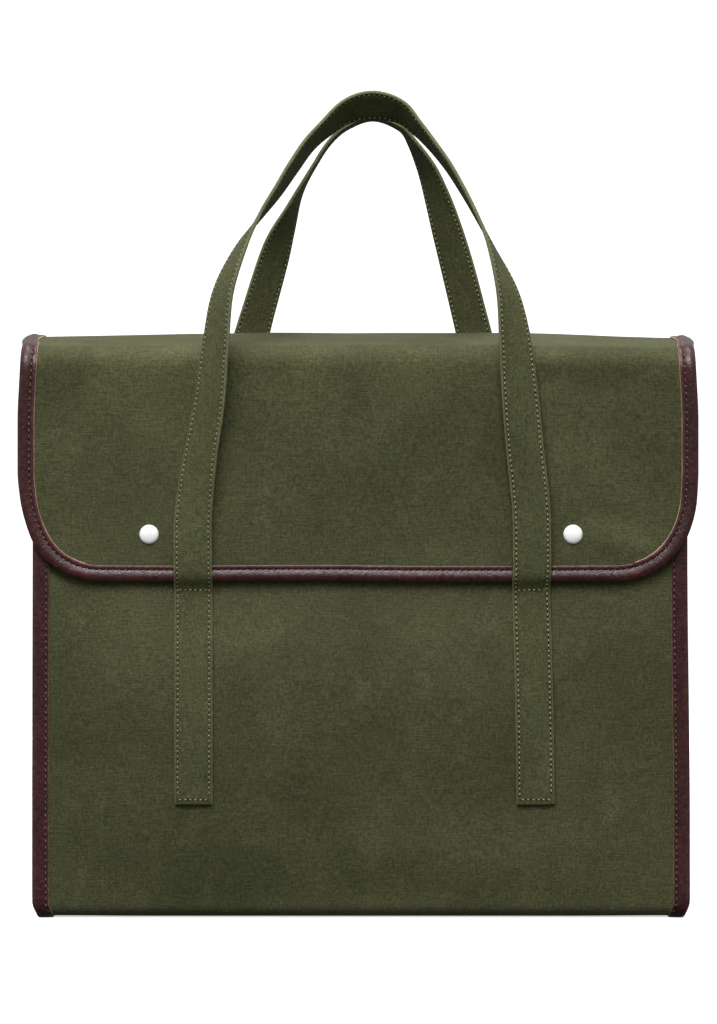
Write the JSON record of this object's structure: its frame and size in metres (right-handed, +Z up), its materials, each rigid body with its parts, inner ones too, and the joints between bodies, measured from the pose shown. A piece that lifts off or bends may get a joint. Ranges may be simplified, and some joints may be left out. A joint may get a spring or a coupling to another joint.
{
  "type": "satchel bag",
  "caption": "Upright waxed-canvas satchel with leather-bound seams, a snap-down flap folding over the front and strap handles sewn to front and back.",
  "frame": {"origin": "on the ground under the middle of the bag", "axes": "+Z up, +X to the right of someone facing the front of the bag, +Y to the back; the front faces -Y"},
  "size_m": [0.434, 0.107, 0.5279],
  "materials": {
    "waxed_canvas": "mottled matte wax",
    "strap_canvas": "matte wax with sewn edges",
    "binding_leather": "oiled, soft gloss",
    "snap_metal": "satin, near white"
  },
  "bodies": {
    "root": {"front_panel": "waxed_canvas", "back_panel": "waxed_canvas", "base_panel": "waxed_canvas", "left_gusset": "waxed_canvas", "right_gusset": "waxed_canvas", "left_seam_binding": "binding_leather", "right_seam_binding": "binding_leather", "flap_yoke": "waxed_canvas", "left_yoke_binding": "binding_leather", "right_yoke_binding": "binding_leather", "front_left_handle_foot": "strap_canvas", "front_right_handle_foot": "strap_canvas", "rear_left_handle_foot": "strap_canvas", "rear_right_handle_foot": "strap_canvas", "left_snap_stud": "snap_metal", "left_snap_post": "snap_metal", "right_snap_stud": "snap_metal", "right_snap_post": "snap_metal"},
    "flap_top": {"flap_top_panel": "waxed_canvas", "left_top_binding": "binding_leather", "right_top_binding": "binding_leather"},
    "flap_front": {"flap_front_panel": "waxed_canvas", "flap_edge_binding": "binding_leather", "left_snap_cap": "snap_metal", "left_snap_socket": "snap_metal", "right_snap_cap": "snap_metal", "right_snap_socket": "snap_metal"},
    "front_handle": {"front_handle_loop": "strap_canvas"},
    "rear_handle": {"rear_handle_loop": "strap_canvas"}
  },
  "joints": [
    {"name": "flap_back_fold", "type": "hinge", "parent": "root", "child": "flap_top", "pos_m": [0, 0.0511, 0.37601], "axis": [-1, 0, 0], "range_deg": [0, 180], "deforming": ["front_handle_loop", "rear_handle_loop"]},
    {"name": "flap_front_fold", "type": "hinge", "parent": "flap_top", "child": "flap_front", "pos_m": [0, -0.0511, 0.36401], "axis": [-1, 0, 0], "range_deg": [0, 95]},
    {"name": "front_handle_swing", "type": "hinge", "parent": "root", "child": "front_handle", "pos_m": [0, -0.048, 0.20752], "axis": [1, 0, 0], "range_deg": [0, 120]},
    {"name": "rear_handle_swing", "type": "hinge", "parent": "root", "child": "rear_handle", "pos_m": [0, 0.048, 0.20752], "axis": [-1, 0, 0], "range_deg": [0, 120]}
  ]
}
